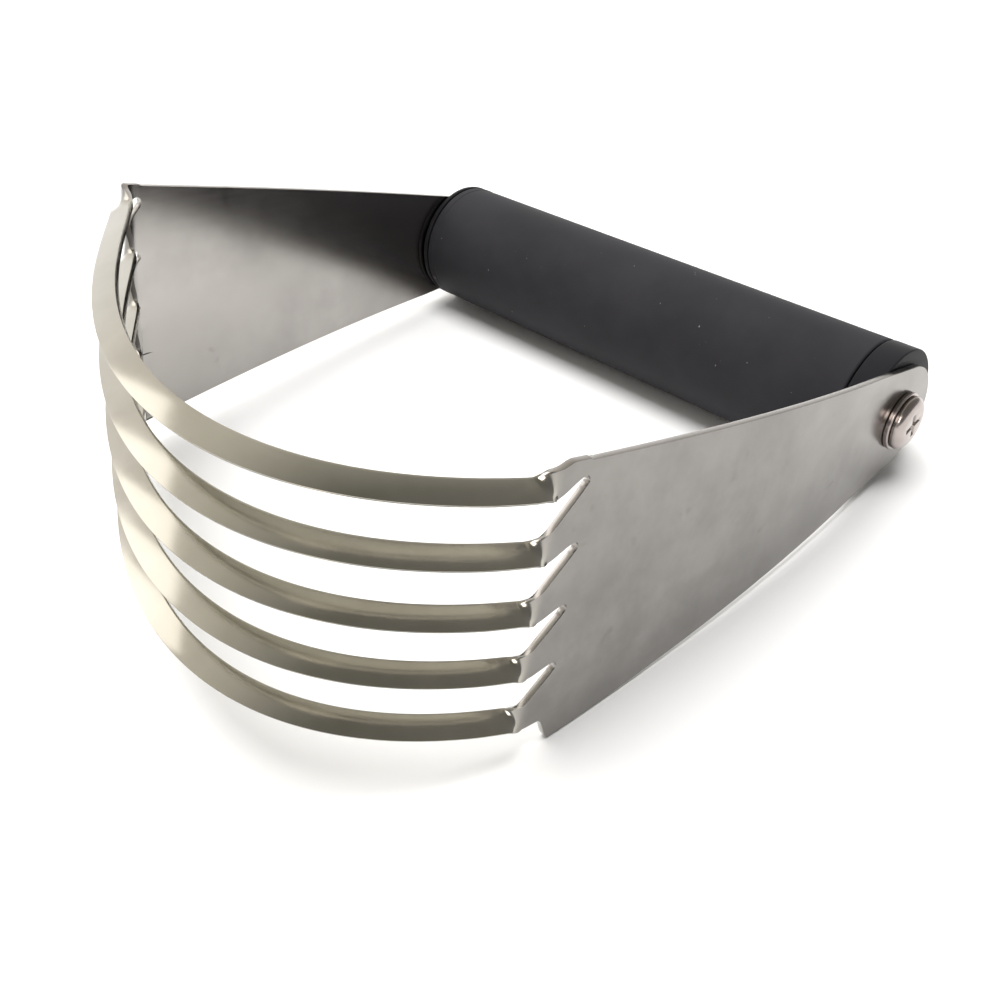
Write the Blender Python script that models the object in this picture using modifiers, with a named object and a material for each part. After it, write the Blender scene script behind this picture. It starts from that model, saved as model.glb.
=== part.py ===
"""Pastry blender: one stamped steel frame with five twisted strips, screwed to a cylindrical grip.

Metres, +Z up. The tool lies on its side: the grip runs along X and the strips face -Y.
It rests on the grip's underside and on the lower front corner of the right-hand plate.
"""
import bisect
import math

import bmesh
import bpy
from mathutils import Matrix, Vector

MM = 0.001
GAP = 0.3 * MM                      # clearance between pieces that touch

# Driving sizes of the steel frame
FRAME_WIDTH = 105.0 * MM            # over the outer faces of the two plates, at the grip
SHEET = 1.0 * MM                    # thickness of the stamped sheet
END_RADIUS = 9.2 * MM               # rounded end of each plate, centred on the grip's axis
FRONT_REACH = 79.8 * MM             # grip axis to the plate's upper front corner
FRONT_HALF_HEIGHT = 21.1 * MM       # half the plate's height at its front
SLOT_REACH = 78.67 * MM
SLOT_SLANT = 0.0735
SLOT_END_RADIUS = 0.8 * MM
SLOT_PITCH = 8.84 * MM
SLOT_CENTRE = 4.87 * MM
CORNER_STEP = 2.0 * MM              # where the outer strips step in from the plate's corners
CLAMP_LENGTH = 10.5 * MM            # part of the plate held flat by the screw
PLATE_FLARE = 0.45 * MM             # the plates bow outwards a little beyond the grip
PLATE_TOE_IN = 3.1 * MM             # and lean inwards at the slots
FLARE_SCALE = 6.7                   # makes the flare's curve peak at PLATE_FLARE
TOE_IN_POWER = 2.2                  # the lean grows towards the slots
SLANT_POWER = 6                     # the slots' slant dies away quickly towards the grip

# Driving sizes of the strips
STRIPS = 5
STRIP_WIDTH = 3.3 * MM
STRIP_PITCH = 8.49 * MM
STRIP_MIDDLE = 1.8 * MM
STRIP_TILT = math.radians(63.3)
NARROWING = 5.0 * MM                # from the slot's closed end to the strip's own width
NECK_LENGTHS = {1.0: 5.8 * MM, -1.0: 1.3 * MM}      # from the slots' closed ends to the crease
CREASE = 1.3 * MM                   # half the length over which a strip twists and turns
TWISTS = {1.0: (4.5 * MM, 7.1 * MM), -1.0: (2.4 * MM, 8.4 * MM)}     # where a strip twists
ROOT_LENGTH = NECK_LENGTHS[1.0] + CREASE
ARC_HANDLES = (54.6 * MM, 36.8 * MM)
ARC_ANGLES = (0.37, 1.008)
ARC_RISE = 3.3 * MM
RISE_POWERS = (1.0, 1.65)           # how the rise grows from the right and from the left end
SKEW_REACH = 0.9                    # share of the half width over which the twist builds up
FRAME_TWIST = 0.064                 # the left plate is turned this much against the right one

# Driving sizes of the grip and its hardware
GRIP_RADIUS = 11.7 * MM
GRIP_WALL = 2.0 * MM
CAP_RADIUS = GRIP_RADIUS
CAP_LENGTHS = {"left": 1.0 * MM, "right": 4.6 * MM}
SPIGOT_LENGTH = 5.0 * MM
SCREW_RADIUS = 2.4 * MM
SCREW_LENGTH = 19.0 * MM
HEAD_RADIUS = 4.6 * MM
HEAD_HEIGHT = 1.4 * MM
HEAD_RIM = 0.4 * MM                 # straight side under the rounded top
CROWN_RADIUS = 2.7 * MM
RECESS_REACH = 2.2 * MM
RECESS_WIDTH = 0.9 * MM
RECESS_DEPTH = 1.0 * MM
RECESS_TURN = 0.35                  # how far the cross has turned with the screw
RECESS_TAPER = 0.55                 # size of the recess's floor against its mouth
WASHER_RADIUS = 5.0 * MM
WASHER_THICKNESS = 0.6 * MM
HOLE_RADIUS = SCREW_RADIUS + GAP

# Mesh density
TURNED_STEPS = 48
CROSS_STEPS = 2
ARC_STEPS = 34
PLATE_STEPS = 12
ROOT_STEPS = 7
HEAD_STEPS = 6

HALF = FRAME_WIDTH / 2
SIDES = {"left": -1.0, "right": 1.0}
INNER_FACE = HALF - SHEET - GAP     # where the end caps stop


def collection(name, rendered=True):
    group = bpy.data.collections.new(name)
    bpy.context.scene.collection.children.link(group)
    group.hide_render = not rendered
    return group


def material(name, colour, metallic, roughness):
    mat = bpy.data.materials.new(name)
    mat.use_nodes = True
    shader = mat.node_tree.nodes["Principled BSDF"]
    shader.inputs["Base Color"].default_value = (*colour, 1.0)
    shader.inputs["Metallic"].default_value = metallic
    shader.inputs["Roughness"].default_value = roughness
    mat.diffuse_color = (*colour, 1.0)
    return mat


def add_object(name, bm, mat, group, sharp_degrees=35):
    bmesh.ops.recalc_face_normals(bm, faces=bm.faces[:])
    mesh = bpy.data.meshes.new(name)
    bm.to_mesh(mesh)
    bm.free()
    for polygon in mesh.polygons:
        polygon.use_smooth = True
    mesh.set_sharp_from_angle(angle=math.radians(sharp_degrees))
    obj = bpy.data.objects.new(name, mesh)
    group.objects.link(obj)
    if mat is not None:
        mesh.materials.append(mat)
    return obj


def turned(name, profile, mat, group):
    """A solid turned about the X axis; profile holds (x, radius) points round its section."""
    bm = bmesh.new()
    points = [bm.verts.new((x, 0.0, radius)) for x, radius in profile]
    edges = [bm.edges.new((points[i], points[i + 1])) for i in range(len(points) - 1)]
    if profile[0][1] > 0:
        edges.append(bm.edges.new((points[-1], points[0])))
    bmesh.ops.spin(bm, geom=points + edges, cent=(0, 0, 0), axis=(1, 0, 0),
                   angle=math.tau, steps=TURNED_STEPS, use_merge=True)
    bmesh.ops.remove_doubles(bm, verts=bm.verts[:], dist=1e-7)
    return add_object(name, bm, mat, group)


# ---- the steel frame --------------------------------------------------------------------

def half_height(reach):
    """Half the plate's height at a distance from the grip's axis: a round end, then a taper."""
    corner = math.hypot(FRONT_REACH, FRONT_HALF_HEIGHT)
    taper = math.atan2(FRONT_HALF_HEIGHT, FRONT_REACH) - math.asin(END_RADIUS / corner)
    if reach < -END_RADIUS * math.sin(taper):
        return math.sqrt(max(END_RADIUS ** 2 - reach ** 2, 0.0))
    return END_RADIUS / math.cos(taper) + reach * math.tan(taper)


def plate_shift(reach):
    """How far the plate stands outside its clamped plane at a distance from the grip's axis."""
    free = max(reach - CLAMP_LENGTH, 0.0) / (SLOT_REACH - CLAMP_LENGTH)
    flare = PLATE_FLARE * FLARE_SCALE * free * (1 - free) * math.exp(-free)
    return flare - PLATE_TOE_IN * free ** TOE_IN_POWER


def plate_point(side, reach):
    x = side * (HALF - SHEET / 2 + plate_shift(reach))
    return Vector((x, -reach))


def arc_point(u):
    """Plan of a strip, right root to left root: one cubic curve."""
    start = plate_point(1.0, SLOT_REACH + NECK_LENGTHS[1.0])
    end = plate_point(-1.0, SLOT_REACH + NECK_LENGTHS[-1.0])
    first = start + ARC_HANDLES[0] * Vector((-math.sin(ARC_ANGLES[0]), -math.cos(ARC_ANGLES[0])))
    second = end + ARC_HANDLES[1] * Vector((math.sin(ARC_ANGLES[1]), -math.cos(ARC_ANGLES[1])))
    v = 1 - u
    return start * v ** 3 + first * 3 * v * v * u + second * 3 * v * u * u + end * u ** 3


def arc_table(steps=400):
    """Distance along the arc at evenly spaced values of the curve's parameter."""
    lengths = [0.0]
    for i in range(steps):
        step = arc_point((i + 1) / steps) - arc_point(i / steps)
        lengths.append(lengths[-1] + step.length)
    return lengths


ARC_TABLE = arc_table()
ARC_LENGTH = ARC_TABLE[-1]


def arc_at(distance):
    """Plan point, inward direction and rise at a distance along the arc from the right root."""
    steps = len(ARC_TABLE) - 1
    index = min(max(bisect.bisect_right(ARC_TABLE, distance) - 1, 0), steps - 1)
    span = ARC_TABLE[index + 1] - ARC_TABLE[index]
    u = (index + (distance - ARC_TABLE[index]) / span) / steps
    along = (arc_point(min(u + 0.001, 1.0)) - arc_point(max(u - 0.001, 0.0))).normalized()
    u = min(max(u, 0.0), 1.0)
    rise = ARC_RISE * (2 * u) ** RISE_POWERS[0] * (2 - 2 * u) ** RISE_POWERS[1]
    return arc_point(u), Vector((along.y, -along.x)), rise


def sharp_path(side, reach):
    """Plan point, inward direction and rise along one side's sheet, with a corner at the crease."""
    distance = reach - SLOT_REACH - NECK_LENGTHS[side]
    if distance <= 0:
        return plate_point(side, reach), Vector((-side, 0.0)), 0.0
    return arc_at(distance if side > 0 else ARC_LENGTH - distance)


def path_at(side, reach):
    """The same path with the crease eased: the mean of a short stretch each way."""
    near = [sharp_path(side, reach + CREASE * share) for share in (-0.8, -0.4, 0.0, 0.4, 0.8)]
    point = sum((item[0] for item in near), Vector((0.0, 0.0))) / len(near)
    inward = sum((item[1] for item in near), Vector((0.0, 0.0))).normalized()
    return point, inward, sum(item[2] for item in near) / len(near)


def smooth(value, low, high):
    t = min(max((value - low) / (high - low), 0.0), 1.0)
    return t * t * (3 - 2 * t)


def slot_height(k):
    """Height of the closed end of slot k, counted from the top."""
    return SLOT_CENTRE + SLOT_PITCH * (1.5 - k)


def slot_setback(height):
    """The slots' closed ends lie on a slightly slanted line: the upper ones nearer the grip."""
    return -SLOT_SLANT * min(max(height, slot_height(STRIPS - 2)), slot_height(0))


def strip_length():
    """Length of a strip between the slots' closed ends on the two sides."""
    return NECK_LENGTHS[1.0] + ARC_LENGTH + NECK_LENGTHS[-1.0]


def slant_share(distance):
    """The slots' slant is kept through the crease and then dies away along the strip."""
    return 1 - smooth(distance, ROOT_LENGTH, 4 * ROOT_LENGTH)


def twist_share(side, distance):
    """How much of its twist a strip has made: at once on the right, slowly on the left."""
    return smooth(distance, *TWISTS[side])


def band_limits(strip, distance):
    """Upper and lower edge of a strip in the flat sheet, at a distance from the slots' ends."""
    middle = STRIP_MIDDLE + STRIP_PITCH * (2 - strip)
    rounding = SLOT_END_RADIUS
    if distance < rounding:
        rounding = math.sqrt(max(rounding ** 2 - (rounding - distance) ** 2, 0.0))
    top_corner = FRONT_REACH - SLOT_REACH - slot_setback(FRONT_HALF_HEIGHT)
    if strip == 0:
        upper_start = half_height(SLOT_REACH + min(distance, top_corner))
        first_step = smooth(distance, top_corner, top_corner + CORNER_STEP)
        upper_share = 0.5 * first_step + 0.5 * smooth(distance, top_corner + CORNER_STEP, ROOT_LENGTH)
    else:
        upper_start = slot_height(strip - 1) - rounding
        upper_share = min(max(distance - SLOT_END_RADIUS * 0.5, 0.0) / NARROWING, 1.0)
    if strip == STRIPS - 1:
        lower_start = -half_height(SLOT_REACH)
        lower_share = smooth(distance, 0.0, CORNER_STEP)
    else:
        lower_start = slot_height(strip) + rounding
        lower_share = smooth(distance, SLOT_END_RADIUS * 0.5, NARROWING)
    upper = upper_start + (middle + STRIP_WIDTH / 2 - upper_start) * upper_share
    lower = lower_start + (middle - STRIP_WIDTH / 2 - lower_start) * lower_share
    return upper, lower


def skew(point):
    """The frame's slight twist: each end of it turns about the grip's axis."""
    share = min(max(point.x / (HALF * SKEW_REACH), -1.0), 1.0)
    return Matrix.Rotation(FRAME_TWIST / 2 * share, 3, "X") @ point


def plate_rows():
    """Reaches of the plate's cross rows, from its round end to the slots' ends."""
    rows = [-END_RADIUS * math.cos(math.radians(angle)) for angle in range(0, 90, 15)]
    rows += [0.0, CLAMP_LENGTH / 2]
    free = SLOT_REACH - CLAMP_LENGTH
    rows += [CLAMP_LENGTH + free * step / PLATE_STEPS for step in range(PLATE_STEPS + 1)]
    return rows


def root_rows():
    """Distances of the strips' cross rows from the slots' ends, through the twist."""
    rounded = [SLOT_END_RADIUS * (1 - math.cos(math.radians(angle))) for angle in (30, 60, 90)]
    free = ROOT_LENGTH - SLOT_END_RADIUS
    return rounded + [SLOT_END_RADIUS + free * step / ROOT_STEPS for step in range(1, ROOT_STEPS + 1)]


def plate_grid_point(side, strip, reach, across):
    """Point on a plate's middle surface; the plate is gridded in bands that lead to the strips."""
    front = half_height(SLOT_REACH)
    upper = 1.0 if strip == 0 else slot_height(strip - 1) / front
    lower = -1.0 if strip == STRIPS - 1 else slot_height(strip) / front
    share = upper + (lower - upper) * across
    shifted = reach + slot_setback(share * front) * (max(reach, 0.0) / SLOT_REACH) ** SLANT_POWER
    plan = plate_point(side, shifted)
    return skew(Vector((plan.x, plan.y, share * half_height(shifted))))


def strip_point(side, strip, distance, across):
    """Point on a strip's middle surface, at a distance from the slots' ends on one side."""
    far = strip_length() - distance
    upper, lower = band_limits(strip, min(distance, far))
    flat_height = upper + (lower - upper) * across
    slant = slot_setback(flat_height) * (slant_share(distance) - slant_share(far))
    plan, inward, rise = path_at(side, SLOT_REACH + distance + slant)
    middle = (upper + lower) / 2
    lever = (upper - lower) / 2 * (1 - 2 * across)
    tilt = STRIP_TILT * twist_share(side, distance) * twist_share(-side, far)
    x = plan.x + inward.x * lever * math.sin(tilt)
    y = plan.y + inward.y * lever * math.sin(tilt)
    return skew(Vector((x, y, middle + rise + lever * math.cos(tilt))))


def frame_surface():
    """Middle surface of the whole frame: plate, five strips, plate."""
    bm = bmesh.new()
    root = root_rows()
    free = strip_length() - 2 * ROOT_LENGTH
    middle = [ROOT_LENGTH + free * step / ARC_STEPS for step in range(1, ARC_STEPS)]
    shares = [k / CROSS_STEPS for k in range(CROSS_STEPS + 1)]
    reaches = plate_rows()
    for strip in range(STRIPS):
        rows = [[plate_grid_point(1.0, strip, reach, k) for k in shares] for reach in reaches]
        rows += [[strip_point(1.0, strip, distance, k) for k in shares] for distance in root]
        rows += [[strip_point(1.0, strip, distance, k) for k in shares] for distance in middle]
        rows += [[strip_point(-1.0, strip, distance, k) for k in shares] for distance in reversed(root)]
        rows += [[plate_grid_point(-1.0, strip, reach, k) for k in shares] for reach in reversed(reaches)]
        made = [[bm.verts.new(point) for point in row] for row in rows]
        for upper_row, lower_row in zip(made, made[1:]):
            for k in range(CROSS_STEPS):
                bm.faces.new((upper_row[k], upper_row[k + 1], lower_row[k + 1], lower_row[k]))
    bmesh.ops.remove_doubles(bm, verts=bm.verts[:], dist=1e-6)
    bmesh.ops.dissolve_degenerate(bm, edges=bm.edges[:], dist=1e-7)
    return bm


def blade_frame(mat, group, cutters):
    frame = add_object("blade_frame", frame_surface(), mat, group)
    thick = frame.modifiers.new("sheet", "SOLIDIFY")
    thick.thickness = SHEET
    thick.offset = 0.0
    thick.use_even_offset = True
    bm = bmesh.new()
    bmesh.ops.create_cone(bm, cap_ends=True, segments=TURNED_STEPS, radius1=HOLE_RADIUS,
                          radius2=HOLE_RADIUS, depth=FRAME_WIDTH + 20 * MM,
                          matrix=Matrix.Rotation(math.pi / 2, 4, "Y"))
    drill = add_object("plate_drill", bm, None, cutters)
    drill.display_type = "WIRE"
    drill.hide_render = True
    cut = frame.modifiers.new("screw_holes", "BOOLEAN")
    cut.operation = "DIFFERENCE"
    cut.solver = "EXACT"
    cut.object = drill
    return frame, drill


# ---- the grip and its hardware ----------------------------------------------------------

def grip_sleeve(mat, group):
    left = -INNER_FACE + CAP_LENGTHS["left"] + GAP
    right = INNER_FACE - CAP_LENGTHS["right"] - GAP
    bore = GRIP_RADIUS - GRIP_WALL
    edge = 0.6 * MM
    profile = [(left, bore), (left, GRIP_RADIUS - edge), (left + edge, GRIP_RADIUS),
               (right - edge, GRIP_RADIUS), (right, GRIP_RADIUS - edge), (right, bore)]
    return turned("grip_sleeve", profile, mat, group)


def handle_core(mat, group):
    end = {name: INNER_FACE - CAP_LENGTHS[name] - SPIGOT_LENGTH - GAP for name in SIDES}
    radius = GRIP_RADIUS - GRIP_WALL - GAP
    bore_end = HALF - SCREW_LENGTH - GAP * 2
    profile = [(-bore_end, 0.0), (-bore_end, HOLE_RADIUS), (-end["left"], HOLE_RADIUS),
               (-end["left"], radius), (end["right"], radius), (end["right"], HOLE_RADIUS),
               (bore_end, HOLE_RADIUS), (bore_end, 0.0)]
    return turned("handle_core", profile, mat, group)


def end_cap(name, mat, group):
    side = SIDES[name]
    length = CAP_LENGTHS[name]
    spigot = GRIP_RADIUS - GRIP_WALL - GAP
    rim = min(0.8 * MM, length * 0.45)
    profile = [(INNER_FACE, HOLE_RADIUS), (INNER_FACE, CAP_RADIUS - rim),
               (INNER_FACE - rim * 0.3, CAP_RADIUS - rim * 0.3), (INNER_FACE - rim, CAP_RADIUS),
               (INNER_FACE - length, CAP_RADIUS), (INNER_FACE - length, spigot),
               (INNER_FACE - length - SPIGOT_LENGTH, spigot),
               (INNER_FACE - length - SPIGOT_LENGTH, HOLE_RADIUS)]
    return turned("end_cap_" + name, [(side * x, radius) for x, radius in profile], mat, group)


def washer(name, mat, group):
    side = SIDES[name]
    inner = HALF + GAP
    outer = inner + WASHER_THICKNESS
    edge = 0.2 * MM
    profile = [(inner, HOLE_RADIUS), (inner, WASHER_RADIUS), (outer - edge, WASHER_RADIUS),
               (outer, WASHER_RADIUS - edge), (outer, HOLE_RADIUS)]
    return turned("washer_" + name, [(side * x, radius) for x, radius in profile], mat, group)


def cross_cutter(name, top, side, cutters):
    """Tapered cross that cuts the driver recess in a screw head."""
    bm = bmesh.new()
    half = RECESS_WIDTH / 2
    reach = RECESS_REACH
    quarter = [(reach, -half), (reach, half), (half, half)]
    outline = []
    for turn in range(4):
        spin = Matrix.Rotation(turn * math.pi / 2 + RECESS_TURN, 2)
        outline += [spin @ Vector(point) for point in quarter]
    upper = [bm.verts.new((side * (top + 0.5 * MM), p.x, p.y)) for p in outline]
    lower = [bm.verts.new((side * (top - RECESS_DEPTH), p.x * RECESS_TAPER, p.y * RECESS_TAPER)) for p in outline]
    bm.faces.new(upper)
    bm.faces.new(lower)
    count = len(outline)
    for k in range(count):
        bm.faces.new((upper[k], upper[(k + 1) % count], lower[(k + 1) % count], lower[k]))
    cutter = add_object(name, bm, None, cutters)
    cutter.display_type = "WIRE"
    cutter.hide_render = True
    return cutter


def screw(name, mat, group, cutters):
    side = SIDES[name]
    seat = HALF + GAP + WASHER_THICKNESS + GAP
    top = seat + HEAD_HEIGHT
    profile = [(top, 0.0)]
    for step in range(HEAD_STEPS + 1):
        angle = math.pi / 2 * (1 - step / HEAD_STEPS)
        x = seat + HEAD_RIM + (HEAD_HEIGHT - HEAD_RIM) * math.sin(angle)
        profile.append((x, CROWN_RADIUS + (HEAD_RADIUS - CROWN_RADIUS) * math.cos(angle)))
    profile += [(seat, HEAD_RADIUS), (seat, SCREW_RADIUS), (HALF - SCREW_LENGTH, SCREW_RADIUS),
                (HALF - SCREW_LENGTH, 0.0)]
    body = turned("screw_" + name, [(side * x, radius) for x, radius in profile], mat, group)
    cutter = cross_cutter("recess_" + name, top, side, cutters)
    cut = body.modifiers.new("driver_recess", "BOOLEAN")
    cut.operation = "DIFFERENCE"
    cut.solver = "EXACT"
    cut.object = cutter
    return body, cutter


# ---- the whole tool ---------------------------------------------------------------------

def rest_tilt():
    """Tilt that puts the grip and the lower front corner of the right plate on one plane."""
    corner = plate_grid_point(1.0, STRIPS - 1, SLOT_REACH, 1.0)
    distance = math.hypot(corner.y, corner.z)
    return math.atan2(-corner.z, -corner.y) - math.asin(GRIP_RADIUS / distance)


def build():
    for obj in list(bpy.data.objects):
        bpy.data.objects.remove(obj, do_unlink=True)
    group = collection("pastry_blender")
    cutters = collection("pastry_blender_cutters", rendered=False)
    steel = material("satin_stainless_steel", (0.60, 0.58, 0.55), 1.0, 0.34)
    plated = material("polished_steel", (0.72, 0.69, 0.67), 1.0, 0.16)
    soft = material("black_soft_grip", (0.035, 0.035, 0.038), 0.0, 0.55)
    hard = material("black_plastic", (0.025, 0.025, 0.028), 0.0, 0.35)
    frame, drill = blade_frame(steel, group, cutters)
    pieces = [frame, drill, grip_sleeve(soft, group), handle_core(hard, group)]
    for name in SIDES:
        pieces.append(end_cap(name, hard, group))
        pieces.append(washer(name, plated, group))
        pieces += screw(name, plated, group, cutters)
    stand = bpy.data.objects.new("resting_pose", None)
    group.objects.link(stand)
    stand.rotation_euler = (-rest_tilt(), 0.0, 0.0)
    for piece in pieces:
        piece.parent = stand
    bpy.context.view_layer.update()
    depsgraph = bpy.context.evaluated_depsgraph_get()
    corners = []
    for piece in pieces:
        if piece.name in cutters.objects:
            continue
        shape = piece.evaluated_get(depsgraph)
        corners += [piece.matrix_world @ vertex.co for vertex in shape.data.vertices]
    low = Vector([min(corner[axis] for corner in corners) for axis in range(3)])
    high = Vector([max(corner[axis] for corner in corners) for axis in range(3)])
    stand.location = (-(low.x + high.x) / 2, -(low.y + high.y) / 2, -low.z)


build()
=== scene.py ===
"""Looks of the pastry blender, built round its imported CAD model. Metres, +Z up."""

import bisect
import math

import bmesh
import bpy
from mathutils import Matrix, Vector


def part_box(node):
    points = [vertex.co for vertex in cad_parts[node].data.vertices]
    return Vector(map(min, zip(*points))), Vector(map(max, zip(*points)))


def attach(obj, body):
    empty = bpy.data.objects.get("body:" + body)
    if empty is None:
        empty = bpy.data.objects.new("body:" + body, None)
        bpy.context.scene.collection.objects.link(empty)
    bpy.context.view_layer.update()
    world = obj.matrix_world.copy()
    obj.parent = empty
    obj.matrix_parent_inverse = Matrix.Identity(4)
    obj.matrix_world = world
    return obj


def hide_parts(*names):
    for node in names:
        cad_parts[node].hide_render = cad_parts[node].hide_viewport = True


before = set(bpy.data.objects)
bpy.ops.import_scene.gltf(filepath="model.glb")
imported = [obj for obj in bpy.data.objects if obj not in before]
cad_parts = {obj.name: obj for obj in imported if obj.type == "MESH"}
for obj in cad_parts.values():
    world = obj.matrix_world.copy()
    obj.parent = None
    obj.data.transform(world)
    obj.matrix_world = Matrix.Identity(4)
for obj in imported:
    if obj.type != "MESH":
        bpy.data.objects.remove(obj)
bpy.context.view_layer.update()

MM = 0.001
GAP = 0.3 * MM

# Driving sizes of the steel frame, as in the CAD model
FRAME_WIDTH = 105.0 * MM
SHEET = 1.0 * MM
END_RADIUS = 9.2 * MM
FRONT_REACH = 79.8 * MM
FRONT_HALF_HEIGHT = 21.1 * MM
SLOT_REACH = 78.67 * MM
SLOT_SLANT = 0.0735
SLOT_END_RADIUS = 0.8 * MM
SLOT_PITCH = 8.84 * MM
SLOT_CENTRE = 4.87 * MM
CORNER_STEP = 2.0 * MM
CLAMP_LENGTH = 10.5 * MM
PLATE_FLARE = 0.45 * MM
PLATE_TOE_IN = 3.1 * MM
FLARE_SCALE = 6.7                   # makes the flare's curve peak at PLATE_FLARE
TOE_IN_POWER = 2.2                  # the lean grows towards the slots
SLANT_POWER = 6                     # the slots' slant dies away quickly towards the grip
STRIPS = 5
STRIP_WIDTH = 3.3 * MM
STRIP_PITCH = 8.49 * MM
STRIP_MIDDLE = 1.8 * MM
STRIP_TILT = math.radians(63.3)
NARROWING = 5.0 * MM                # from the slot's closed end to the strip's own width
NECK_LENGTHS = {1.0: 5.8 * MM, -1.0: 1.3 * MM}      # from the slots' closed ends to the crease
CREASE = 1.3 * MM                   # half the length over which a strip twists and turns
TWISTS = {1.0: (4.5 * MM, 7.1 * MM), -1.0: (2.4 * MM, 8.4 * MM)}     # where a strip twists
ROOT_LENGTH = NECK_LENGTHS[1.0] + CREASE
ARC_HANDLES = (54.6 * MM, 36.8 * MM)
ARC_ANGLES = (0.37, 1.008)
ARC_RISE = 3.3 * MM
RISE_POWERS = (1.0, 1.65)           # how the rise grows from the right and from the left end
SKEW_REACH = 0.9                    # share of the half width over which the twist builds up
FRAME_TWIST = 0.064

# Grip and hardware
GRIP_RADIUS = 11.7 * MM
GRIP_WALL = 2.0 * MM
CAP_RADIUS = GRIP_RADIUS
CAP_LENGTHS = {"left": 1.0 * MM, "right": 4.6 * MM}
SPIGOT_LENGTH = 5.0 * MM
SCREW_RADIUS = 2.4 * MM
HOLE_RADIUS = SCREW_RADIUS + GAP
SCREW_LENGTH = 19.0 * MM
HEAD_RADIUS = 4.6 * MM
HEAD_HEIGHT = 1.4 * MM
HEAD_RIM = 0.4 * MM
CROWN_RADIUS = 2.7 * MM
RECESS_REACH = 2.2 * MM
RECESS_WIDTH = 0.9 * MM
RECESS_DEPTH = 1.0 * MM
RECESS_TURN = 0.35                  # how far the cross has turned with the screw
WASHER_RADIUS = 5.0 * MM
WASHER_THICKNESS = 0.6 * MM

# Mesh density and finish of edges
TURNED_STEPS = 144
PLATE_STEPS = 30
ROOT_STEPS = 16
ARC_STEPS = 120
EDGE_ROUND = 1.1 * MM               # width of the thinned band behind a strip's cutting edge
EDGE_LEFT = 0.3                     # share of the sheet's thickness left at that edge
SEAT_GAP = 0.06 * MM                # parts that are screwed tight stand this close
STRIP_CROWN = 0.07 * MM             # a strip's face is this much lower at its edges
BURR_ROUND = 0.08 * MM              # broken edges everywhere else

HALF = FRAME_WIDTH / 2
SHEET_OFFSET = 0.3                  # keeps the grain of the two sides apart
SIDES = {"left": -1.0, "right": 1.0}
INNER_FACE = HALF - SHEET - GAP

grip_low, grip_high = (Vector(corner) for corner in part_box("grip_sleeve"))
AXIS = Vector((0.0, (grip_low.y + grip_high.y) / 2, (grip_low.z + grip_high.z) / 2))


# ---- shape helpers ------------------------------------------------------------------------

def smooth(value, low, high):
    """0 below low, 1 above high, with an eased rise between them."""
    t = min(max((value - low) / (high - low), 0.0), 1.0)
    return t * t * (3 - 2 * t)


def shade(obj, sharp_degrees=35):
    for polygon in obj.data.polygons:
        polygon.use_smooth = True
    obj.data.set_sharp_from_angle(angle=math.radians(sharp_degrees))


def add_object(name, bm, mat=None, matrix=None):
    mesh = bpy.data.meshes.new(name)
    if matrix is not None:
        bmesh.ops.transform(bm, matrix=matrix, verts=bm.verts[:])
    bm.to_mesh(mesh)
    bm.free()
    obj = bpy.data.objects.new(name, mesh)
    bpy.context.scene.collection.objects.link(obj)
    if mat is not None:
        mesh.materials.append(mat)
    shade(obj)
    return obj


def rounded(points, radii, steps=5):
    """Outline with each corner rounded by a small curve; radii holds one value per point."""
    outline = []
    for index, (corner, radius) in enumerate(zip(points, radii)):
        if radius <= 0 or index in (0, len(points) - 1):
            outline.append(corner)
            continue
        here = Vector(corner)
        before = Vector(points[index - 1]) - here
        after = Vector(points[index + 1]) - here
        first = here + before.normalized() * min(radius, before.length * 0.49)
        last = here + after.normalized() * min(radius, after.length * 0.49)
        for k in range(steps + 1):
            t = k / steps
            outline.append(tuple(first * (1 - t) ** 2 + here * 2 * t * (1 - t) + last * t * t))
    return outline


def turned(name, profile, mat):
    """A solid turned about the grip's axis; profile holds (x, radius) points of its section."""
    bm = bmesh.new()
    points = [bm.verts.new((x, 0.0, radius)) for x, radius in profile]
    edges = [bm.edges.new((points[i], points[i + 1])) for i in range(len(points) - 1)]
    if profile[0][1] > 0:
        edges.append(bm.edges.new((points[-1], points[0])))
    bmesh.ops.spin(bm, geom=points + edges, cent=(0, 0, 0), axis=(1, 0, 0),
                   angle=math.tau, steps=TURNED_STEPS, use_merge=True)
    bmesh.ops.remove_doubles(bm, verts=bm.verts[:], dist=1e-7)
    bmesh.ops.recalc_face_normals(bm, faces=bm.faces[:])
    return add_object(name, bm, mat, POSE)


# ---- materials ----------------------------------------------------------------------------

PLATE_TONES = ((0.385, 0.368, 0.348), (0.48, 0.459, 0.436), (0.325, 0.308, 0.292))
STRIP_TONES = ((0.44, 0.42, 0.365), (0.50, 0.48, 0.425))
STAIN_TONE = (0.24, 0.22, 0.20)
# near-black tone that the painted shade on the outer faces of the sheet mixes towards
PAINTED_SHADE_TONE = (0.05, 0.048, 0.045)
DUST_TONE = (0.30, 0.28, 0.27)
SCREW_TONE = (0.46, 0.405, 0.385)
SOFT_TONE = (0.0225, 0.0220, 0.0250)
HARD_TONE = (0.0120, 0.0117, 0.0135)
OUTER_PAINTED_SHADE = 0.43                # painted shade: share by which the outer faces of the plates are darkened
PAINTED_SHADE_SPREAD = 0.08               # the painted shade is stronger in some places than in others
FINE_RELIEF = 0.03 * MM             # heights that the bump textures stand for
GRIP_RELIEF = 0.08 * MM
BROAD_RELIEF = 0.4 * MM


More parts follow.
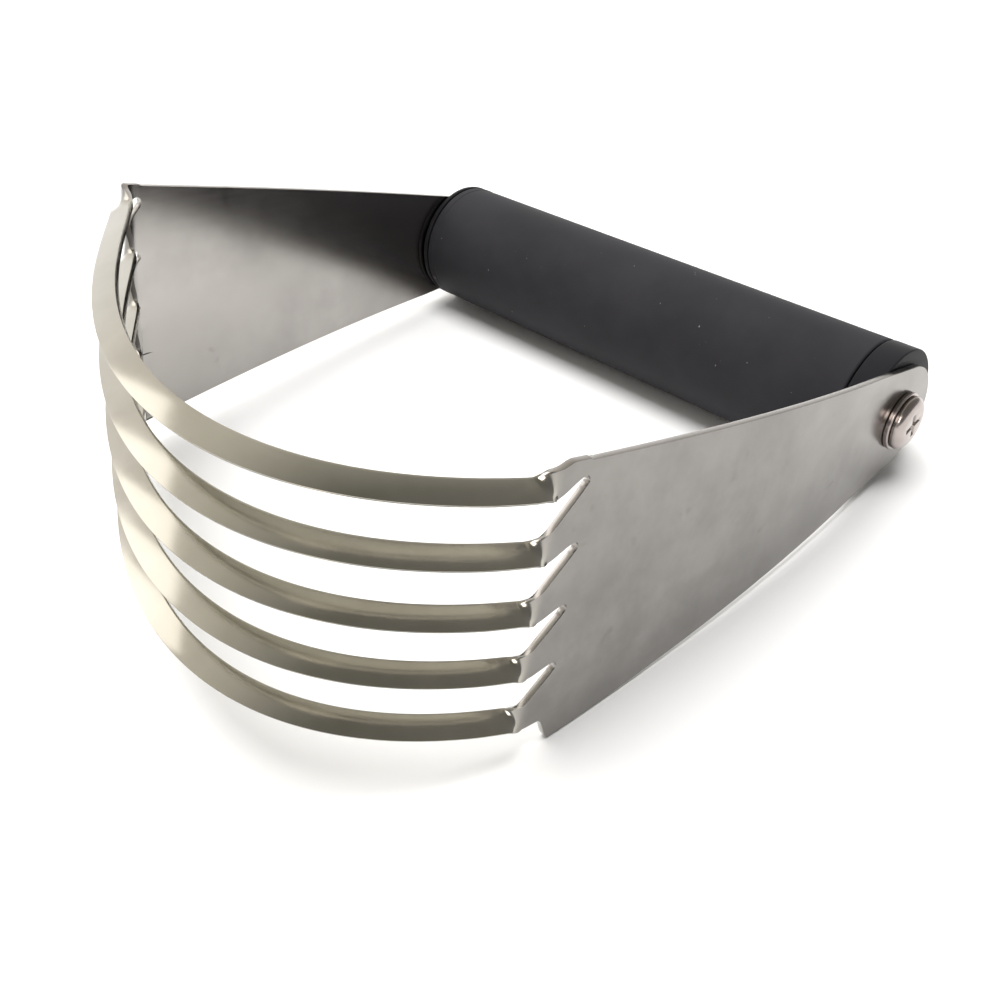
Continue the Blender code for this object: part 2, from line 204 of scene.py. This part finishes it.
class Nodes:
    """A short way to write a material's node tree."""

    def __init__(self, name):
        self.mat = bpy.data.materials.new(name)
        self.mat.use_nodes = True
        self.tree = self.mat.node_tree
        self.shader = self.tree.nodes["Principled BSDF"]

    def add(self, kind, **settings):
        node = self.tree.nodes.new(kind)
        for key, value in settings.items():
            setattr(node, key, value)
        return node

    def link(self, source, target):
        self.tree.links.new(source, target)

    def value(self, socket, value):
        if hasattr(value, "links"):
            self.link(value, socket)
        else:
            socket.default_value = value

    def math(self, operation, first, second=0.0, third=0.0):
        node = self.add("ShaderNodeMath", operation=operation)
        for socket, value in zip(node.inputs, (first, second, third)):
            self.value(socket, value)
        return node.outputs[0]

    def noise(self, vector, scale, detail=3.0, rough=0.55, stretch=(1, 1, 1)):
        place = self.add("ShaderNodeMapping")
        place.inputs["Scale"].default_value = stretch
        self.link(vector, place.inputs["Vector"])
        node = self.add("ShaderNodeTexNoise")
        self.link(place.outputs["Vector"], node.inputs["Vector"])
        node.inputs["Scale"].default_value = scale
        node.inputs["Detail"].default_value = detail
        node.inputs["Roughness"].default_value = rough
        return node.outputs["Fac"]

    def ramp(self, factor, low, high, start=0.0, end=1.0):
        node = self.add("ShaderNodeMapRange")
        self.link(factor, node.inputs["Value"])
        for key, value in (("From Min", low), ("From Max", high), ("To Min", start), ("To Max", end)):
            self.value(node.inputs[key], value)
        return node.outputs["Result"]

    def mix(self, factor, first, second):
        node = self.add("ShaderNodeMix", data_type="RGBA")
        self.value(node.inputs["Factor"], factor)
        for socket, value in ((node.inputs[6], first), (node.inputs[7], second)):
            self.value(socket, (*value, 1.0) if isinstance(value, tuple) else value)
        return node.outputs[2]

    def bump(self, height, strength, distance, under=None):
        node = self.add("ShaderNodeBump")
        node.inputs["Strength"].default_value = strength
        node.inputs["Distance"].default_value = distance
        self.link(height, node.inputs["Height"])
        if under is not None:
            self.link(under, node.inputs["Normal"])
        return node.outputs["Normal"]


def frame_steel():
    """Satin stamped sheet; the strips are polished brighter and warmer than the plates, and the
    plates' outer faces carry painted shade.
    """
    n = Nodes("satin_stainless_steel")
    sheet = n.add("ShaderNodeUVMap", uv_map="sheet").outputs["UV"]
    place = n.add("ShaderNodeTexCoord").outputs["Object"]
    polish = n.add("ShaderNodeAttribute", attribute_name="polish").outputs["Fac"]
    mottle = n.noise(place, 75, 4, 0.6)
    cloud = n.noise(place, 22, 2, 0.5)
    grain = n.noise(sheet, 900, 2, 0.6, (0.05, 1.0, 1.0))
    stain = n.noise(place, 130, 3, 0.65)
    spots = n.ramp(stain, 0.66, 0.74)
    streak = n.noise(sheet, 60, 3, 0.6, (0.25, 1.0, 1.0))
    tone = n.mix(n.ramp(cloud, 0.35, 0.65), PLATE_TONES[0], PLATE_TONES[1])
    tone = n.mix(n.ramp(mottle, 0.4, 0.7, 0.0, 0.6), tone, PLATE_TONES[2])
    tone = n.mix(n.ramp(streak, 0.45, 0.7, 0.0, 0.6), tone, PLATE_TONES[0])
    tone = n.mix(n.math("MULTIPLY", spots, 0.45), tone, STAIN_TONE)
    # Painted shade: the outer skin of the sheet is darkened towards a near-black tone by an uneven
    # share, which dims the plates' outer faces.
    outer = n.add("ShaderNodeAttribute", attribute_name="outer").outputs["Fac"]
    least, most = OUTER_PAINTED_SHADE - PAINTED_SHADE_SPREAD, OUTER_PAINTED_SHADE + PAINTED_SHADE_SPREAD
    outer_shade = n.ramp(n.noise(place, 110, 5, 0.65), 0.3, 0.7, most, least)
    tone = n.mix(n.math("MULTIPLY", outer, outer_shade), tone, PAINTED_SHADE_TONE)
    tone = n.mix(polish, tone, n.mix(n.ramp(mottle, 0.35, 0.65), STRIP_TONES[0], STRIP_TONES[1]))
    n.link(tone, n.shader.inputs["Base Color"])
    n.shader.inputs["Metallic"].default_value = 1.0
    satin = n.math("ADD", n.ramp(mottle, 0.3, 0.7, 0.12, 0.18), n.math("MULTIPLY", grain, 0.06))
    smoothed = n.ramp(mottle, 0.3, 0.7, 0.13, 0.2)
    gap = n.math("SUBTRACT", smoothed, satin)
    n.link(n.math("MULTIPLY_ADD", gap, polish, satin), n.shader.inputs["Roughness"])
    first = n.bump(grain, 0.06, FINE_RELIEF)
    n.link(n.bump(cloud, 0.3, BROAD_RELIEF, first), n.shader.inputs["Normal"])
    return n.mat


def bright_steel(name, tone, roughness):
    """Plated screws and washers: turned bright, with fine handling marks."""
    n = Nodes(name)
    place = n.add("ShaderNodeTexCoord").outputs["Object"]
    marks = n.noise(place, 900, 4, 0.6)
    soft = n.noise(place, 160, 3, 0.6)
    n.link(n.mix(n.ramp(soft, 0.35, 0.65), tone, tuple(c * 0.8 for c in tone)),
           n.shader.inputs["Base Color"])
    n.shader.inputs["Metallic"].default_value = 1.0
    n.link(n.ramp(marks, 0.3, 0.7, roughness, roughness + 0.1), n.shader.inputs["Roughness"])
    n.link(n.bump(marks, 0.1, FINE_RELIEF), n.shader.inputs["Normal"])
    return n.mat


def black_moulding(name, tone, roughness, grain, specks):
    """Black moulding with a fine spark-eroded grain and a few pale dust specks."""
    n = Nodes(name)
    place = n.add("ShaderNodeTexCoord").outputs["Object"]
    fine = n.noise(place, 2600, 3, 0.6)
    soft = n.noise(place, 70, 3, 0.6)
    dust = n.noise(place, 1300, 1, 0.5)
    base = n.mix(n.ramp(soft, 0.3, 0.7), tone, tuple(c * 1.35 for c in tone))
    base = n.mix(n.math("MULTIPLY", n.ramp(dust, 0.79, 0.82), specks), base, DUST_TONE)
    n.link(base, n.shader.inputs["Base Color"])
    n.link(n.ramp(soft, 0.3, 0.7, roughness - 0.05, roughness + 0.05), n.shader.inputs["Roughness"])
    n.shader.inputs["Specular IOR Level"].default_value = 0.08
    n.link(n.bump(fine, grain, GRIP_RELIEF), n.shader.inputs["Normal"])
    return n.mat


# ---- the steel frame ----------------------------------------------------------------------

def half_height(reach):
    """Half of a plate's height: a round end about the screw, then straight tapering edges."""
    corner = math.hypot(FRONT_REACH, FRONT_HALF_HEIGHT)
    taper = math.atan2(FRONT_HALF_HEIGHT, FRONT_REACH) - math.asin(END_RADIUS / corner)
    if reach < -END_RADIUS * math.sin(taper):
        return math.sqrt(max(END_RADIUS ** 2 - reach ** 2, 0.0))
    return END_RADIUS / math.cos(taper) + reach * math.tan(taper)


def plate_shift(reach):
    """How far a plate bows outwards past its clamped end, and then leans in at the front."""
    free = max(reach - CLAMP_LENGTH, 0.0) / (SLOT_REACH - CLAMP_LENGTH)
    flare = PLATE_FLARE * FLARE_SCALE * free * (1 - free) * math.exp(-free)
    return flare - PLATE_TOE_IN * free ** TOE_IN_POWER


def plate_point(side, reach):
    x = side * (HALF - SHEET / 2 + plate_shift(reach))
    return Vector((x, -reach))


def arc_point(u):
    """The strips' plan curve, from the right crease to the left one."""
    start = plate_point(1.0, SLOT_REACH + NECK_LENGTHS[1.0])
    end = plate_point(-1.0, SLOT_REACH + NECK_LENGTHS[-1.0])
    first = start + ARC_HANDLES[0] * Vector((-math.sin(ARC_ANGLES[0]), -math.cos(ARC_ANGLES[0])))
    second = end + ARC_HANDLES[1] * Vector((math.sin(ARC_ANGLES[1]), -math.cos(ARC_ANGLES[1])))
    v = 1 - u
    return start * v ** 3 + first * 3 * v * v * u + second * 3 * v * u * u + end * u ** 3


def arc_table(steps=600):
    """Lengths along the plan curve at even steps of u."""
    lengths = [0.0]
    for i in range(steps):
        step = arc_point((i + 1) / steps) - arc_point(i / steps)
        lengths.append(lengths[-1] + step.length)
    return lengths


ARC_TABLE = arc_table()
ARC_LENGTH = ARC_TABLE[-1]


def arc_at(distance):
    """Plan point, inward direction and rise at a distance along the arc from the right root."""
    steps = len(ARC_TABLE) - 1
    index = min(max(bisect.bisect_right(ARC_TABLE, distance) - 1, 0), steps - 1)
    span = ARC_TABLE[index + 1] - ARC_TABLE[index]
    u = (index + (distance - ARC_TABLE[index]) / span) / steps
    along = (arc_point(min(u + 0.001, 1.0)) - arc_point(max(u - 0.001, 0.0))).normalized()
    u = min(max(u, 0.0), 1.0)
    rise = ARC_RISE * (2 * u) ** RISE_POWERS[0] * (2 - 2 * u) ** RISE_POWERS[1]
    return arc_point(u), Vector((along.y, -along.x)), rise


def sharp_path(side, reach):
    """Plan point, inward direction and rise along one side's sheet, with a corner at the crease."""
    distance = reach - SLOT_REACH - NECK_LENGTHS[side]
    if distance <= 0:
        return plate_point(side, reach), Vector((-side, 0.0)), 0.0
    return arc_at(distance if side > 0 else ARC_LENGTH - distance)


def path_at(side, reach):
    """The same path with the crease eased: the mean of a short stretch each way."""
    near = [sharp_path(side, reach + CREASE * share) for share in (-0.8, -0.4, 0.0, 0.4, 0.8)]
    point = sum((item[0] for item in near), Vector((0.0, 0.0))) / len(near)
    inward = sum((item[1] for item in near), Vector((0.0, 0.0))).normalized()
    return point, inward, sum(item[2] for item in near) / len(near)


def slot_height(k):
    return SLOT_CENTRE + SLOT_PITCH * (1.5 - k)


def slot_setback(height):
    """The slots' closed ends lie on a slightly slanted line: the upper ones nearer the grip."""
    return -SLOT_SLANT * min(max(height, slot_height(STRIPS - 2)), slot_height(0))


def strip_length():
    """Length of a strip between the slots' closed ends on the two sides."""
    return NECK_LENGTHS[1.0] + ARC_LENGTH + NECK_LENGTHS[-1.0]


def slant_share(distance):
    """The slots' slant is kept through the crease and then dies away along the strip."""
    return 1 - smooth(distance, ROOT_LENGTH, 4 * ROOT_LENGTH)


def twist_share(side, distance):
    """How much of its twist a strip has made: at once on the right, slowly on the left."""
    return smooth(distance, *TWISTS[side])


def band_limits(strip, distance):
    """Upper and lower edge of a strip in the flat sheet, at a distance from the slots' ends."""
    middle = STRIP_MIDDLE + STRIP_PITCH * (2 - strip)
    rounding = SLOT_END_RADIUS
    if distance < rounding:
        rounding = math.sqrt(max(rounding ** 2 - (rounding - distance) ** 2, 0.0))
    top_corner = FRONT_REACH - SLOT_REACH - slot_setback(FRONT_HALF_HEIGHT)
    if strip == 0:
        upper_start = half_height(SLOT_REACH + min(distance, top_corner))
        first_step = smooth(distance, top_corner, top_corner + CORNER_STEP)
        upper_share = 0.5 * first_step + 0.5 * smooth(distance, top_corner + CORNER_STEP, ROOT_LENGTH)
    else:
        upper_start = slot_height(strip - 1) - rounding
        upper_share = min(max(distance - SLOT_END_RADIUS * 0.5, 0.0) / NARROWING, 1.0)
    if strip == STRIPS - 1:
        lower_start = -half_height(SLOT_REACH)
        lower_share = smooth(distance, 0.0, CORNER_STEP)
    else:
        lower_start = slot_height(strip) + rounding
        lower_share = smooth(distance, SLOT_END_RADIUS * 0.5, NARROWING)
    upper = upper_start + (middle + STRIP_WIDTH / 2 - upper_start) * upper_share
    lower = lower_start + (middle - STRIP_WIDTH / 2 - lower_start) * lower_share
    return upper, lower


def skew(point):
    """The frame's slight twist: each end of it turns about the grip's axis."""
    share = min(max(point.x / (HALF * SKEW_REACH), -1.0), 1.0)
    return Matrix.Rotation(FRAME_TWIST / 2 * share, 3, "X") @ point


def plate_rows():
    rows = [-END_RADIUS * math.cos(math.radians(angle)) for angle in range(0, 90, 6)]
    rows += [CLAMP_LENGTH * k / 4 for k in range(4)]
    free = SLOT_REACH - CLAMP_LENGTH
    return rows + [CLAMP_LENGTH + free * step / PLATE_STEPS for step in range(PLATE_STEPS + 1)]


def root_rows():
    turns = range(15, 91, 15)
    round_rows = [SLOT_END_RADIUS * (1 - math.cos(math.radians(angle))) for angle in turns]
    free = ROOT_LENGTH - SLOT_END_RADIUS
    steps = range(1, ROOT_STEPS + 1)
    return round_rows + [SLOT_END_RADIUS + free * step / ROOT_STEPS for step in steps]


def plate_grid_point(side, strip, reach, across):
    """A point of the plate in the zone that leads to one strip, with its place in the sheet."""
    front = half_height(SLOT_REACH)
    upper = 1.0 if strip == 0 else slot_height(strip - 1) / front
    lower = -1.0 if strip == STRIPS - 1 else slot_height(strip) / front
    share = upper + (lower - upper) * across
    shifted = reach + slot_setback(share * front) * (max(reach, 0.0) / SLOT_REACH) ** SLANT_POWER
    plan = plate_point(side, shifted)
    height = share * half_height(shifted)
    return skew(Vector((plan.x, plan.y, height))), (side * SHEET_OFFSET + shifted, height), 0.0


def strip_point(side, strip, distance, across):
    """A point of a strip, counted from one side's slots, with its place in the sheet."""
    far = strip_length() - distance
    upper, lower = band_limits(strip, min(distance, far))
    flat_height = upper + (lower - upper) * across
    slant = slot_setback(flat_height) * (slant_share(distance) - slant_share(far))
    plan, inward, rise = path_at(side, SLOT_REACH + distance + slant)
    middle = (upper + lower) / 2
    lever = (upper - lower) / 2 * (1 - 2 * across)
    tilt = STRIP_TILT * twist_share(side, distance) * twist_share(-side, far)
    x = plan.x + inward.x * lever * math.sin(tilt)
    y = plan.y + inward.y * lever * math.sin(tilt)
    point = skew(Vector((x, y, middle + rise + lever * math.cos(tilt))))
    polish = smooth(min(distance, far), NARROWING * 0.8, ROOT_LENGTH)
    return point, (side * SHEET_OFFSET + SLOT_REACH + distance, flat_height), polish


def edge_share(across, polish):
    """How far the inner skin stands behind the middle surface, in half thicknesses."""
    from_edge = (1 - across) * STRIP_WIDTH
    if from_edge >= EDGE_ROUND:
        return 1.0
    left = EDGE_LEFT + (1 - EDGE_LEFT) * math.sqrt(1 - (1 - from_edge / EDGE_ROUND) ** 2)
    return 1.0 + (2 * left - 2) * polish


def frame_grid():
    """Rows of (point, sheet coordinate, polish) for each strip, from plate to plate."""
    root = root_rows()
    free = strip_length() - 2 * ROOT_LENGTH
    middle = [ROOT_LENGTH + free * step / ARC_STEPS for step in range(1, ARC_STEPS)]
    edge = [1 - EDGE_ROUND / STRIP_WIDTH * share for share in (1.0, 0.62, 0.34, 0.14, 0.03, 0.0)]
    across = [0.0, 0.08, 0.2, 0.35, 0.5] + edge
    reaches = plate_rows()
    for strip in range(STRIPS):
        rows = [[plate_grid_point(1.0, strip, reach, k) for k in across] for reach in reaches]
        rows += [[strip_point(1.0, strip, place, k) for k in across] for place in root + middle]
        rows += [[strip_point(-1.0, strip, place, k) for k in across] for place in root[::-1]]
        rows += [[plate_grid_point(-1.0, strip, reach, k) for k in across] for reach in reaches[::-1]]
        yield across, rows


def middle_surface(bm, keys):
    """The sheet's middle surface, with the values that its two skins are made from."""
    for across, rows in frame_grid():
        made = []
        for row in rows:
            line = []
            for share, (point, place, polish) in zip(across, row):
                vert = bm.verts.new(point)
                vert[keys["sheet_uv"]] = (place[0], place[1], 0.0)
                vert[keys["polish"]] = polish
                vert[keys["outer"]] = 1.0
                vert[keys["share"]] = edge_share(share, polish)
                vert[keys["crown"]] = STRIP_CROWN * polish * (2 * share - 1) ** 2
                line.append(vert)
            made.append(line)
        for first, second in zip(made, made[1:]):
            for k in range(len(across) - 1):
                bm.faces.new((first[k], second[k], second[k + 1], first[k + 1]))
    bmesh.ops.remove_doubles(bm, verts=bm.verts[:], dist=1e-6)
    bmesh.ops.dissolve_degenerate(bm, edges=bm.edges[:], dist=1e-7)
    bm.normal_update()


def add_skins(bm, keys):
    """Adds the inner skin and the sheared edges, then moves the middle surface outwards."""
    skin = bm.faces[:]
    rim = [edge for edge in bm.edges if len(edge.link_faces) == 1]
    rim_ends = [(edge.verts[0], edge.verts[1], edge.link_faces[0]) for edge in rim]
    middle = {vert: (vert.co.copy(), vert.normal.copy()) for vert in bm.verts}
    inner = {}
    for vert, (place, normal) in middle.items():
        twin = bm.verts.new(place - normal * SHEET / 2 * vert[keys["share"]])
        twin[keys["sheet_uv"]] = vert[keys["sheet_uv"]]
        twin[keys["polish"]] = vert[keys["polish"]]
        inner[vert] = twin
    for face in skin:
        bm.faces.new([inner[vert] for vert in reversed(face.verts)])
    for first, second, face in rim_ends:
        loops = [loop for loop in face.loops if loop.vert in (first, second)]
        start = loops[0] if loops[0].link_loop_next.vert in (first, second) else loops[1]
        near = start.vert
        far = start.link_loop_next.vert
        bm.faces.new((far, near, inner[near], inner[far]))
    for vert, (place, normal) in middle.items():
        vert.co = place + normal * (SHEET / 2 - vert[keys["crown"]])


def frame_solid():
    """The stamped sheet as one closed mesh, with its flat sheet coordinates as a UV map."""
    bm = bmesh.new()
    keys = {"sheet_uv": bm.verts.layers.float_vector.new("sheet_uv")}
    for name in ("polish", "share", "outer", "crown"):
        keys[name] = bm.verts.layers.float.new(name)
    middle_surface(bm, keys)
    add_skins(bm, keys)
    uv_layer = bm.loops.layers.uv.new("sheet")
    for face in bm.faces:
        for loop in face.loops:
            loop[uv_layer].uv = loop.vert[keys["sheet_uv"]][:2]
    return bm


def make_frame(mat):
    body = add_object("steel_frame", frame_solid(), mat, POSE)
    bm = bmesh.new()
    bmesh.ops.create_cone(bm, cap_ends=True, segments=64, radius1=HOLE_RADIUS,
                          radius2=HOLE_RADIUS, depth=FRAME_WIDTH + 20 * MM,
                          matrix=Matrix.Rotation(math.pi / 2, 4, "Y"))
    drill = add_object("plate_drill", bm, None, POSE)
    cut = body.modifiers.new("screw_holes", "BOOLEAN")
    cut.solver = "EXACT"
    cut.object = drill
    soften = body.modifiers.new("broken_edges", "BEVEL")
    soften.width = BURR_ROUND
    soften.segments = 2
    soften.limit_method = "ANGLE"
    soften.angle_limit = math.radians(50)
    apply_modifiers(body, drill)
    shade(body, 50)
    return body


def apply_modifiers(obj, *tools):
    """Keeps the modified shape as the object's own mesh and removes the cutters."""
    depsgraph = bpy.context.evaluated_depsgraph_get()
    mesh = bpy.data.meshes.new_from_object(obj.evaluated_get(depsgraph), depsgraph=depsgraph)
    obj.modifiers.clear()
    obj.data = mesh
    for tool in tools:
        bpy.data.objects.remove(tool, do_unlink=True)


# ---- grip and hardware --------------------------------------------------------------------

def make_sleeve(mat):
    """Soft sleeve with a shallow groove behind its left lip."""
    left = -INNER_FACE + CAP_LENGTHS["left"] + GAP
    right = INNER_FACE - CAP_LENGTHS["right"] - GAP
    bore = GRIP_RADIUS - GRIP_WALL
    lip = 1.6 * MM
    groove = 0.09 * MM
    face = GRIP_RADIUS - groove / 2
    points = [(left, bore), (left, GRIP_RADIUS), (left + lip, GRIP_RADIUS),
              (left + lip + groove, GRIP_RADIUS - groove), (left + lip + 3 * groove, face),
              (right, face), (right, bore)]
    radii = [0, 0.45 * MM, 0.2 * MM, 0.1 * MM, 0.1 * MM, 0.5 * MM, 0]
    return turned("soft_grip", rounded(points, radii), mat)


def make_cap(name, mat):
    """End cap between a plate and the sleeve, with a spigot inside the sleeve."""
    side = SIDES[name]
    length = CAP_LENGTHS[name]
    spigot = GRIP_RADIUS - GRIP_WALL - GAP
    rim = 0.35 * MM
    inner = INNER_FACE - length
    points = [(INNER_FACE, HOLE_RADIUS), (INNER_FACE, CAP_RADIUS), (inner, CAP_RADIUS),
              (inner, spigot), (inner - SPIGOT_LENGTH, spigot), (inner - SPIGOT_LENGTH, HOLE_RADIUS)]
    outline = rounded(points, [0, rim, min(0.35 * MM, length * 0.3), 0, 0.3 * MM, 0], 8)
    return turned("grip_cap_" + name, [(side * x, radius) for x, radius in outline], mat)


def make_washer(name, mat):
    side = SIDES[name]
    inner = HALF + SEAT_GAP
    outer = HALF + GAP + WASHER_THICKNESS
    points = [(inner, HOLE_RADIUS), (inner, WASHER_RADIUS), (outer, WASHER_RADIUS),
              (outer, HOLE_RADIUS)]
    outline = rounded(points, [0, 0.12 * MM, 0.3 * MM, 0])
    return turned("bright_washer_" + name, [(side * x, radius) for x, radius in outline], mat)


def recess_cutter(side, top):
    """Tapered cross with a pointed bottom that cuts the driver recess."""
    bm = bmesh.new()
    half = RECESS_WIDTH / 2
    quarter = [(RECESS_REACH, -half), (RECESS_REACH, half), (half, half)]
    outline = []
    for turn in range(4):
        spin = Matrix.Rotation(turn * math.pi / 2 + RECESS_TURN, 2)
        outline += [spin @ Vector(point) for point in quarter]
    levels = [(top + 0.5 * MM, 1.25), (top, 1.0), (top - RECESS_DEPTH * 0.8, 0.62),
              (top - RECESS_DEPTH, 0.35)]
    rings = []
    for x, size in levels:
        rings.append([bm.verts.new((side * x, p.x * size, p.y * size)) for p in outline])
    bm.faces.new(rings[0])
    bm.faces.new(rings[-1])
    count = len(outline)
    for upper, lower in zip(rings, rings[1:]):
        for k in range(count):
            bm.faces.new((upper[k], upper[(k + 1) % count], lower[(k + 1) % count], lower[k]))
    bmesh.ops.recalc_face_normals(bm, faces=bm.faces[:])
    return add_object("recess_cutter", bm, None, POSE)


def make_screw(name, mat):
    """Screw with a low rounded head and a cross recess; its head stands on the washer."""
    side = SIDES[name]
    seat = HALF + GAP + WASHER_THICKNESS + SEAT_GAP
    top = HALF + GAP + WASHER_THICKNESS + GAP + HEAD_HEIGHT
    profile = [(top, 0.0)]
    steps = 16
    for step in range(steps + 1):
        angle = math.pi / 2 * (1 - step / steps)
        x = seat + HEAD_RIM + (top - seat - HEAD_RIM) * math.sin(angle)
        profile.append((x, CROWN_RADIUS + (HEAD_RADIUS - CROWN_RADIUS) * math.cos(angle)))
    profile += [(seat + 0.1 * MM, HEAD_RADIUS), (seat, HEAD_RADIUS - 0.1 * MM), (seat, SCREW_RADIUS),
                (HALF - SCREW_LENGTH, SCREW_RADIUS), (HALF - SCREW_LENGTH, 0.0)]
    body = turned("bright_screw_" + name, [(side * x, radius) for x, radius in profile], mat)
    cutter = recess_cutter(side, top)
    cut = body.modifiers.new("driver_recess", "BOOLEAN")
    cut.solver = "EXACT"
    cut.object = cutter
    soften = body.modifiers.new("recess_edge", "BEVEL")
    soften.width = 0.07 * MM
    soften.segments = 2
    soften.limit_method = "ANGLE"
    soften.angle_limit = math.radians(40)
    apply_modifiers(body, cutter)
    shade(body, 40)
    return body


# ---- pose, camera, lights -----------------------------------------------------------------

def rest_matrix():
    """Turns the upright design onto its resting place: grip and right front corner down."""
    corner = plate_grid_point(1.0, STRIPS - 1, SLOT_REACH, 1.0)[0]
    distance = math.hypot(corner.y, corner.z)
    tilt = math.atan2(-corner.z, -corner.y) - math.asin(GRIP_RADIUS / distance)
    return Matrix.Translation(AXIS) @ Matrix.Rotation(-tilt, 4, "X")


CAMERA_FROM_AXIS = Vector((109.93, -147.71, 97.95)) * MM
CAMERA_TURN = (52.014, 1.166, 44.854)       # degrees
CAMERA_LENS = 38.13                         # mm, on a 36 mm sensor


def make_camera():
    data = bpy.data.cameras.new("camera")
    data.sensor_width = 36.0
    data.lens = CAMERA_LENS
    data.clip_start = 0.01
    data.clip_end = 20.0
    camera = bpy.data.objects.new("camera", data)
    camera.location = AXIS + CAMERA_FROM_AXIS
    camera.rotation_euler = [math.radians(angle) for angle in CAMERA_TURN]
    bpy.context.scene.collection.objects.link(camera)
    bpy.context.scene.camera = camera
    bpy.context.scene.view_settings.view_transform = "Standard"


def make_floor():
    bm = bmesh.new()
    bmesh.ops.create_grid(bm, x_segments=1, y_segments=1, size=3.0)
    n = Nodes("pale_floor")
    n.shader.inputs["Base Color"].default_value = (0.86, 0.86, 0.86, 1.0)
    n.shader.inputs["Roughness"].default_value = 0.9
    n.shader.inputs["Specular IOR Level"].default_value = 0.1
    floor = add_object("floor", bm, n.mat)
    floor.location.z = -0.1 * MM


def area_light(name, place, size, power, seen=False, tone=(1, 1, 1)):
    """Soft light aimed at the tool. A seen one is a window: it shows only in the polished metal."""
    data = bpy.data.lights.new(name, "AREA")
    data.shape = "RECTANGLE"
    data.size, data.size_y = size
    data.energy = power
    data.color = tone
    light = bpy.data.objects.new(name, data)
    light.location = place
    light.visible_glossy = seen
    light.visible_diffuse = not seen
    light.rotation_euler = (Vector((0, 0, 0.02)) - Vector(place)).to_track_quat("-Z", "Y").to_euler()
    bpy.context.scene.collection.objects.link(light)


CEILING = ((0.0, (1.0, 0.99, 0.98)), (0.4, (0.93, 0.91, 0.88)), (0.75, (0.82, 0.79, 0.73)),
           (0.95, (0.74, 0.72, 0.65)), (1.0, (0.70, 0.68, 0.60)))
WALLS = ((0.0, (1.0, 0.99, 0.98)), (0.3, (0.88, 0.87, 0.86)), (0.5, (0.48, 0.48, 0.48)),
         (0.6, (0.24, 0.24, 0.24)), (1.0, (0.21, 0.21, 0.21)))
WORLD_STRENGTH = 1.25


def make_world():
    """A pale room that darkens overhead and towards the right."""
    world = bpy.data.worlds.new("studio")
    world.use_nodes = True
    bpy.context.scene.world = world
    tree = world.node_tree
    back = tree.nodes["Background"]
    coord = tree.nodes.new("ShaderNodeTexCoord")
    split = tree.nodes.new("ShaderNodeSeparateXYZ")
    tree.links.new(coord.outputs["Generated"], split.inputs[0])
    height = room_ramp(tree, split.outputs["Z"], CEILING)
    side = tree.nodes.new("ShaderNodeMath")
    side.operation = "MULTIPLY_ADD"
    side.inputs[1].default_value = 0.5
    side.inputs[2].default_value = 0.5
    tree.links.new(split.outputs["X"], side.inputs[0])
    across = room_ramp(tree, side.outputs[0], WALLS)
    both = tree.nodes.new("ShaderNodeMix")
    both.data_type = "RGBA"
    both.blend_type = "MULTIPLY"
    both.inputs["Factor"].default_value = 1.0
    tree.links.new(height, both.inputs[6])
    tree.links.new(across, both.inputs[7])
    tree.links.new(both.outputs[2], back.inputs["Color"])
    back.inputs["Strength"].default_value = WORLD_STRENGTH


def room_ramp(tree, factor, stops):
    """Colour by position; stops holds (position, colour) pairs in order."""
    ramp = tree.nodes.new("ShaderNodeValToRGB")
    tree.links.new(factor, ramp.inputs[0])
    elements = ramp.color_ramp.elements
    while len(elements) < len(stops):
        elements.new(0.5)
    for element, (position, colour) in zip(elements, stops):
        element.position = position
        element.color = (*colour, 1.0)
    return ramp.outputs["Color"]


POSE = rest_matrix()

steel = frame_steel()
bright = bright_steel("polished_steel", SCREW_TONE, 0.16)
soft = black_moulding("black_soft_grip", SOFT_TONE, 0.55, 0.20, 0.7)
hard = black_moulding("black_plastic", HARD_TONE, 0.42, 0.08, 0.0)

pieces = [(make_frame(steel), "blade_frame", "satin_stainless_steel"),
          (make_sleeve(soft), "grip_sleeve", "black_soft_grip")]
for side_name in SIDES:
    pieces.append((make_cap(side_name, hard), "end_cap_" + side_name, "black_plastic"))
    pieces.append((make_washer(side_name, bright), "washer_" + side_name, "polished_steel"))
    pieces.append((make_screw(side_name, bright), "screw_" + side_name, "polished_steel"))
for piece, node, slot_name in pieces:
    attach(piece, "root")
    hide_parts(node)
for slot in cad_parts["handle_core"].material_slots:
    slot.material = hard

make_floor()
make_world()
area_light("left_softbox", (-1.1, 0.1, 1.3), (1.2, 1.2), 12)
area_light("back_softbox", (0.3, 1.2, 1.2), (1.4, 0.9), 3)
area_light("top_softbox", (0.0, -0.1, 1.5), (0.9, 0.9), 23)
area_light("front_window", (0.54, -0.9, 0.66), (0.5, 0.5), 4.5, True, (1.0, 0.93, 0.88))
area_light("left_window", (-1.1, -0.35, 0.75), (0.5, 0.8), 1.7, True, (1.0, 0.97, 0.95))
make_camera()
